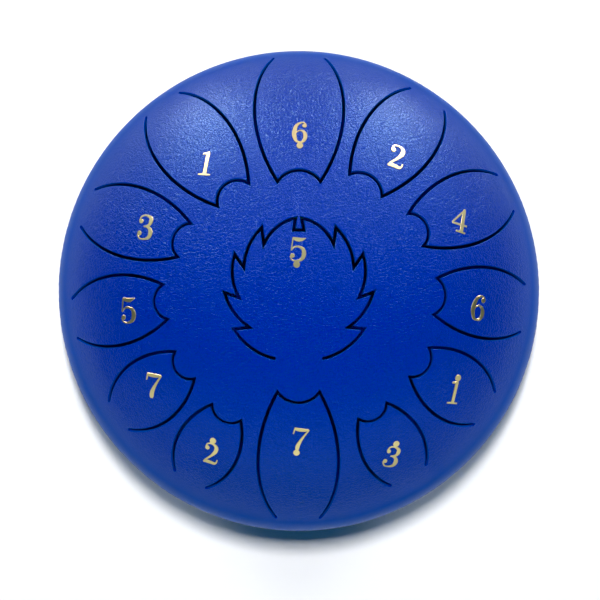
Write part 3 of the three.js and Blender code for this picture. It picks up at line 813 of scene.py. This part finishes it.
def brush_stroke(marks):
    """Outline of a stroke through marks (x, y, width), a Catmull-Rom curve."""
    marks = np.array(marks, float)
    ends = [2 * marks[0] - marks[1]], [2 * marks[-1] - marks[-2]]
    marks = np.vstack([ends[0], marks, ends[1]])
    t = (np.arange(STROKE_STEPS) / STROKE_STEPS)[:, None]
    line = []
    for a, b, c, d in zip(marks, marks[1:], marks[2:], marks[3:]):
        line.append(((2 * b) + (c - a) * t + (2 * a - 5 * b + 4 * c - d) * t ** 2
                     + (3 * b - a - 3 * c + d) * t ** 3) / 2)
    line = np.vstack([*line, marks[-2:-1]])
    side = unit(left_of(np.gradient(line[:, :2], axis=0))) * line[:, 2:] / 2
    return np.vstack([line[:, :2] - side, (line[:, :2] + side)[::-1]])


def digit_shapes(digit, dot, dot_x):
    height = DOTTED_DIGIT if dot else PLAIN_DIGIT
    size = height / PLAIN_DIGIT
    strokes, balls = DIGITS[digit]
    shapes = [brush_stroke(marks) * size for marks in strokes]
    shapes += [circle(radius * size, BALL_STEPS, (x * size, y * size)) for x, y, radius in balls]
    if dot:
        dot_y = dot * (height / 2 + DOT_RADIUS - DOT_OVERLAP)
        shapes.append(circle(DOT_RADIUS, BALL_STEPS, (dot_x, dot_y)))
    return shapes


def triangulate(loops):
    """Points and triangles that cover everything inside the loops."""
    corners = [Vector(point) for loop in loops for point in loop]
    numbers, first = [], 0
    for loop in loops:
        numbers.append(list(range(first, first + len(loop))))
        first += len(loop)
    found = delaunay_2d_cdt(corners, [], numbers, 0, 1e-4)
    return np.array(found[0]), [triangle for triangle, owners in zip(found[2], found[5]) if owners]


def edge_loops(points, triangles):
    """The closed loops round a set of triangles, with the inside on their left."""
    ways = {(a, b) for t in triangles for a, b in zip(t, t[1:] + t[:1])}
    after = {}
    for a, b in ways:
        if (b, a) not in ways:
            after.setdefault(a, []).append(b)
    loops = []
    while after:
        start = next(iter(after))
        loop, here = [start], leave(after, start, None, points)
        while here != start:
            loop.append(here)
            here = leave(after, here, loop[-2], points)
        loops.append(thinned(points[loop]))
    return [loop for loop in loops if len(loop) > 4]


def leave(after, here, came_from, points):
    """The next point of a loop. Where two loops touch, it is the one furthest to the right."""
    choices = after[here]
    choice = choices[0]
    if len(choices) > 1 and came_from is not None:
        arriving = points[here] - points[came_from]

        def turn(number):
            leaving = points[number] - points[here]
            return math.atan2(arriving[0] * leaving[1] - arriving[1] * leaving[0], arriving @ leaving)

        choice = min(choices, key=turn)
    choices.remove(choice)
    if not choices:
        del after[here]
    return choice


def thinned(loop, least=0.15):
    kept = [loop[0]]
    for point in loop[1:]:
        if np.linalg.norm(point - kept[-1]) > least:
            kept.append(point)
    if len(kept) > 1 and np.linalg.norm(kept[-1] - kept[0]) < least:
        kept.pop()
    return np.array(kept)


def crest_of(loop, outlines):
    """The upper edge of a sticker's bevel and its height there. A thin stroke has a smaller bevel."""
    normals = left_of(unit(np.roll(loop, -1, axis=0) - loop))
    before = np.roll(normals, 1, axis=0)
    stretch = np.maximum(1 + (before * normals).sum(1), 0.5)[:, None]
    ways = (before + normals) / stretch
    inset = np.full(len(loop), STICKER_BEVEL)
    for _ in range(8):
        crest = loop + ways * inset[:, None]
        room = np.min([distance_to(crest, closed(outline)) for outline in outlines], axis=0)
        inset = np.where(room < 0.85 * inset, inset * 0.75, inset)
    inset = np.minimum(inset, (np.roll(inset, 1) + inset + np.roll(inset, -1)) / 3)
    rise = STICKER_SHOULDER + (STICKER_TOP - STICKER_SHOULDER) * inset / STICKER_BEVEL
    return loop + ways * inset[:, None], rise


def draped(sticker, flat, lift):
    """Points of a sticker laid on the crown, and the crown's normals there. They start on the plane that
    touches the crown at the sticker's middle, and move along its normal to the crown's ellipsoid."""
    angle = math.radians(sticker.angle)
    spot = np.array([[sticker.arc * math.cos(angle), sticker.arc * math.sin(angle)]])
    foot = CROWN.lay(spot, 0)[0]
    normal = CROWN.normals(spot, np.zeros((1, 2)))[0]
    up = unit(np.array([0, 1, 0]) - normal * normal[1])
    right = np.cross(up, normal)
    flat = turned_by(flat, -math.radians(sticker.lean))
    points = foot + flat[:, :1] * right + flat[:, 1:] * up - (0, 0, EQUATOR_Z)
    scale = np.array([SHELL_RADIUS, SHELL_RADIUS, CROWN_HEIGHT])
    a = ((normal / scale) ** 2).sum()
    b = 2 * (points * normal / scale ** 2).sum(1)
    c = ((points / scale) ** 2).sum(1) - 1
    points = points + ((np.sqrt(b * b - 4 * a * c) - b) / (2 * a))[:, None] * normal
    skin = unit(points / scale ** 2)
    return points + skin * np.asarray(lift)[:, None] + (0, 0, EQUATOR_Z), skin


def make_sticker(sticker, start, end, gold):
    note = sticker.note
    covered, triangles = triangulate(digit_shapes(sticker.digit, sticker.dot, sticker.dot_x))
    outlines = edge_loops(covered, triangles)
    flat, lifts, faces, crests = [], [], [], []
    for loop in outlines:
        count = len(loop)
        crest, rise = crest_of(loop, outlines)
        base = len(flat)
        flat.extend([*loop, *loop, *crest])
        lifts.extend([STICKER_FOOT] * count + [STICKER_SHOULDER] * count + list(rise))
        for level in (base, base + count):
            for i in range(count):
                j = (i + 1) % count
                faces.append([level + i, level + j, level + count + j, level + count + i])
        crests.append(list(range(base + 2 * count, base + 3 * count)))
    lid = lid_faces(np.array(flat), crests)
    places, skin = draped(sticker, np.array(flat), lifts)
    normals = [(0, 0, 0)] * (4 * len(faces)) + [tuple(skin[k]) for face in lid for k in face]
    piece = make_piece(f"digit_{note}", places, faces + lid, gold, normals, STICKER_SHARP_ANGLE)
    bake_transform(piece)
    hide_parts(f"number_{note}")


def lid_faces(points, crests):
    """Triangles inside the outer crests and outside the inner ones."""
    used = [k for crest in crests for k in crest]
    edges, first = [], 0
    for crest in crests:
        count = len(crest)
        edges += [(first + i, first + (i + 1) % count) for i in range(count)]
        first += count
    found = delaunay_2d_cdt([Vector(points[k]) for k in used], edges, [], 0, 1e-6)
    numbers = [used[origin[0]] if origin else None for origin in found[3]]
    corners = np.array(found[0])
    middles = np.array([corners[list(triangle)].mean(0) for triangle in found[2]])
    depth = sum(inside(middles, points[crest]).astype(int) for crest in crests)
    chosen = [[numbers[k] for k in triangle] for triangle, level in zip(found[2], depth) if level % 2 == 1]
    return [face for face in chosen if None not in face]


def make_notes(paint, gold):
    """All thirteen tongues with their stickers. Returns the slots between them and the shell."""
    slots = {"low5": leaf_slot()}
    bends = {"low5": (crown_point(0, LEAF_ROOT + BLEND_INSET), crown_point(0, LEAF_TIP))}
    for tongue in RING_TONGUES:
        way = turned_by((1, 0), math.radians(tongue.angle))
        start, end = way * (tongue.root - BLEND_INSET), way * tongue.tip
        slots[tongue.note] = ring_slot(tongue)
        bends[tongue.note] = (crown_point(*start), crown_point(*end))
    for sticker in STICKERS:
        note = sticker.note
        make_tongue(note, slots[note], *bends[note], paint)
        make_sticker(sticker, *bends[note], gold)
    return list(slots.values())


# -------------------- materials

class Nodes:
    """A short way to write the node tree of a material or of the world."""

    def __init__(self, owner, shader="Principled BSDF", coordinates="Object"):
        self.owner = owner
        owner.use_nodes = True
        self.tree = owner.node_tree
        self.shader = self.tree.nodes[shader]
        self.place = self.tree.nodes.new("ShaderNodeTexCoord").outputs[coordinates]

    def add(self, kind, inputs=None, **settings):
        node = self.tree.nodes.new(kind)
        for name, value in settings.items():
            setattr(node, name, value)
        for name, value in (inputs or {}).items():
            self.set(node.inputs[name], value)
        return node

    def set(self, socket, value):
        if isinstance(value, bpy.types.NodeSocket):
            self.tree.links.new(value, socket)
        else:
            socket.default_value = value

    def noise(self, size, detail=2):
        """Noise with features about size millimetres across."""
        node = self.add("ShaderNodeTexNoise", {"Vector": self.place, "Scale": 1 / (size * MM)})
        self.set(node.inputs["Detail"], detail)
        return node.outputs["Fac"]

    def cells(self, size, feature):
        """Distances in a pattern of cells about size millimetres across."""
        inputs = {"Vector": self.place, "Scale": 1 / (size * MM)}
        return self.add("ShaderNodeTexVoronoi", inputs, feature=feature).outputs["Distance"]

    def spread(self, value, low, high, to_low, to_high, smooth=False):
        """Takes the range from low to high to the range from to_low to to_high."""
        node = self.add("ShaderNodeMapRange", {"Value": value, "From Min": low, "From Max": high,
                                               "To Min": to_low, "To Max": to_high})
        node.interpolation_type = "SMOOTHSTEP" if smooth else "LINEAR"
        return node.outputs["Result"]

    def sum(self, a, b, share):
        """a plus share of b."""
        node = self.add("ShaderNodeMath", operation="MULTIPLY_ADD")
        self.set(node.inputs[0], b)
        self.set(node.inputs[1], share)
        self.set(node.inputs[2], a)
        return node.outputs[0]

    def mix(self, share, a, b):
        node = self.add("ShaderNodeMix", data_type="RGBA")
        self.set(node.inputs["Factor"], share)
        for socket, colour in zip(node.inputs[6:8], (a, b)):
            self.set(socket, colour if isinstance(colour, bpy.types.NodeSocket) else (*colour, 1))
        return node.outputs[2]

    def level(self):
        """How nearly level the surface is: 1 where it faces straight up or down, 0 on a wall."""
        normal = self.add("ShaderNodeNewGeometry").outputs["Normal"]
        node = self.add("ShaderNodeSeparateXYZ", {"Vector": normal})
        size = self.add("ShaderNodeMath", operation="ABSOLUTE")
        self.set(size.inputs[0], node.outputs["Z"])
        return size.outputs[0]

    def bump(self, height, strength, depth):
        """Relief up to depth millimetres high."""
        node = self.add("ShaderNodeBump", {"Height": height, "Strength": strength, "Distance": depth * MM})
        self.set(self.shader.inputs["Normal"], node.outputs["Normal"])

    def finish(self, **sockets):
        for name, value in sockets.items():
            self.set(self.shader.inputs[name.replace("_", " ")], value)
        return self.owner


def shade(colour, factor):
    return tuple(min(1, channel * factor) for channel in colour)


def paint_material():
    """Powder coat with the fine pebbled grain of leather. Towards the rim its colour turns to a lighter
    blue, a painted reflection.
    """
    n = Nodes(bpy.data.materials.new("blue powder coat"))
    edge = n.spread(n.cells(GRAIN_SIZE, "DISTANCE_TO_EDGE"), 0, 0.14, 0, 1, smooth=True)
    height = n.sum(n.sum(n.noise(1.3 * GRAIN_SIZE), n.noise(GRAIN_SIZE / 4), 0.25), edge, 0.35)
    level = n.level()
    n.bump(height, n.spread(level, 0.4, 0.85, 0.03, 1, smooth=True), 0.3)
    tone = n.sum(n.spread(edge, 0, 1, 0, 0.55), n.noise(3, 3), 0.5)
    roughness = n.sum(n.spread(level, 0.1, 0.9, 0.36, 0.285, smooth=True), n.noise(4, 3), 0.03)
    gloss = n.spread(level, 0.45, 0.82, 0.02, 0.45, smooth=True)
    flat_colour = n.mix(tone, shade(BLUE, 0.74), shade(BLUE, 1.22))
    # Where the surface turns to a wall, the base colour goes to a lighter blue: painted reflection on the
    # rim, while the real gloss is turned down there
    colour = n.mix(n.spread(level, 0.2, 0.85, 0, 1, smooth=True), BLUE_WITH_PAINTED_RIM_REFLECTION, flat_colour)
    return n.finish(Base_Color=colour, Roughness=roughness,
                    Metallic=0.0, Specular_IOR_Level=gloss, Specular_Tint=PAINT_HIGHLIGHT)


def gold_material():
    """Electroformed foil, polished, with a faint grain."""
    n = Nodes(bpy.data.materials.new("gold foil"))
    n.bump(n.noise(0.5, 2), 0.02, 0.01)
    tone = n.noise(3, 3)
    roughness = n.spread(n.noise(1.2, 3), 0.3, 0.7, 0.34, 0.4)
    colour = n.mix(tone, shade(GOLD, 0.9), shade(GOLD, 1.08))
    return n.finish(Base_Color=colour, Roughness=roughness, Metallic=1.0)


def rubber_material():
    n = Nodes(bpy.data.materials.new("black rubber"))
    height = n.sum(n.noise(0.35, 3), n.cells(0.9, "F1"), 0.5)
    n.bump(height, 0.35, 0.05)
    dust = n.spread(n.noise(5, 5), 0.45, 0.75, 0, 1)
    roughness = n.spread(n.noise(2.5, 3), 0.3, 0.7, 0.58, 0.78)
    return n.finish(Base_Color=n.mix(dust, RUBBER, shade(RUBBER, 2.4)), Roughness=roughness, Metallic=0.0)


def zinc_material():
    n = Nodes(bpy.data.materials.new("zinc plate"))
    n.bump(n.noise(0.4, 4), 0.15, 0.02)
    tone = n.cells(0.8, "F1")
    roughness = n.spread(n.noise(0.7, 4), 0.3, 0.7, 0.26, 0.42)
    colour = n.mix(tone, shade(ZINC, 1.1), shade(ZINC, 0.8))
    return n.finish(Base_Color=colour, Roughness=roughness, Metallic=1.0)


# -------------------- stage, light and camera

def make_floor():
    mesh = bpy.data.meshes.new("floor")
    corners = [(-1, -1), (1, -1), (1, 1), (-1, 1)]
    mesh.from_pydata([(x * FLOOR_HALF, y * FLOOR_HALF, 0) for x, y in corners], [], [(0, 1, 2, 3)])
    floor = bpy.data.objects.new("floor", mesh)
    bpy.context.scene.collection.objects.link(floor)
    n = Nodes(bpy.data.materials.new("white paper"))
    tone = n.noise(60, 2)
    colour = n.mix(tone, shade(PAPER, 0.88), shade(PAPER, 0.9))
    mesh.materials.append(n.finish(Base_Color=colour, Roughness=0.9, Specular_IOR_Level=0.1))


def add_softbox(name, azimuth, elevation, width, height, radiance, colour=(1, 1, 1),
                diffuse=True, glossy=True):
    """A rectangular light that faces the drum. Its place and size are the angles seen from the drum, in
    degrees, and its azimuth goes from +Y towards +X."""
    data = bpy.data.lights.new(name, "AREA")
    data.shape = "RECTANGLE"
    data.size = 2 * LIGHT_DISTANCE * math.tan(math.radians(width) / 2)
    data.size_y = 2 * LIGHT_DISTANCE * math.tan(math.radians(height) / 2)
    data.energy = math.pi * data.size * data.size_y * radiance
    data.color = colour
    lamp = bpy.data.objects.new(name, data)
    bpy.context.scene.collection.objects.link(lamp)
    a, e = math.radians(azimuth), math.radians(elevation)
    way = Vector((math.sin(a) * math.cos(e), math.cos(a) * math.cos(e), math.sin(e)))
    lamp.location = Vector((0, 0, EQUATOR_Z * MM)) + way * LIGHT_DISTANCE
    lamp.rotation_euler = way.to_track_quat("Z", "Y").to_euler()
    lamp.visible_camera = False
    lamp.visible_diffuse = diffuse
    lamp.visible_glossy = glossy


def light_studio():
    """A room that glows at the horizon behind the drum, and softboxes round the drum."""
    world = bpy.data.worlds.new("studio")
    bpy.context.scene.world = world
    n = Nodes(world, "Background", "Generated")
    way = n.add("ShaderNodeSeparateXYZ", {"Vector": n.place}).outputs
    glow = n.spread(way["Z"], 0.02, 0.3, HORIZON_GLOW, 0, smooth=True)
    behind = n.spread(way["Y"], -0.7, 0.2, 0.1, 1, smooth=True)
    n.finish(Strength=n.sum(SKY_GLOW, glow, behind), Color=SKY_COLOUR)
    add_softbox("key", 0, 83.5, 3.5, 8, 410, glossy=False)
    for side in (-1, 1):
        add_softbox(f"panel_{side + 2}", 43 * side, 45, 38, 60, 1.9, (0.8, 0.9, 1), diffuse=False)
        add_softbox(f"lamp_{side + 2}", 27 * side, 17, 11, 36, 35, (1, 0.8, 0.86), diffuse=False)
        add_softbox(f"rear_fill_{side + 2}", 50 * side, 30, 14, 22, 11, (0.9, 0.95, 1), glossy=False)
    add_softbox("front_card", 180, 35, 120, 38, 1.8, (1, 1, 0.95), diffuse=False)
    add_softbox("front_fill", 180, 8, 90, 10, 2.5, (0.3, 0.75, 1), glossy=False)


def add_camera():
    data = bpy.data.cameras.new("camera")
    data.lens = CAMERA_LENS
    data.clip_start, data.clip_end = CAMERA_CLIP
    camera = bpy.data.objects.new("camera", data)
    bpy.context.scene.collection.objects.link(camera)
    middle = Vector((0, 0, EQUATOR_Z)) * MM
    back = Vector((0, -math.cos(CAMERA_ELEVATION), math.sin(CAMERA_ELEVATION)))
    camera.location = middle + back * CAMERA_DISTANCE * MM
    aim = middle + Vector((CAMERA_AIM[0], CAMERA_AIM[1], 0)) * MM
    camera.rotation_mode = "QUATERNION"
    roll = Quaternion((0, 0, 1), CAMERA_ROLL)
    camera.rotation_quaternion = (aim - camera.location).to_track_quat("-Z", "Y") @ roll
    bpy.context.scene.camera = camera


def grade_colours():
    """Plain display colours, with a little red taken out of the shadows as on a cool white balance."""
    view = bpy.context.scene.view_settings
    view.view_transform = "Standard"
    view.use_curve_mapping = True
    view.curve_mapping.black_level = (SHADOW_RED, 0, 0)
    view.curve_mapping.update()


def main():
    paint, gold, rubber, zinc = paint_material(), gold_material(), rubber_material(), zinc_material()
    make_upper_shell(make_notes(paint, gold), paint)
    make_lower_shell(paint)
    make_weld(paint)
    make_feet(rubber, zinc)
    make_floor()
    light_studio()
    add_camera()
    grade_colours()


main()
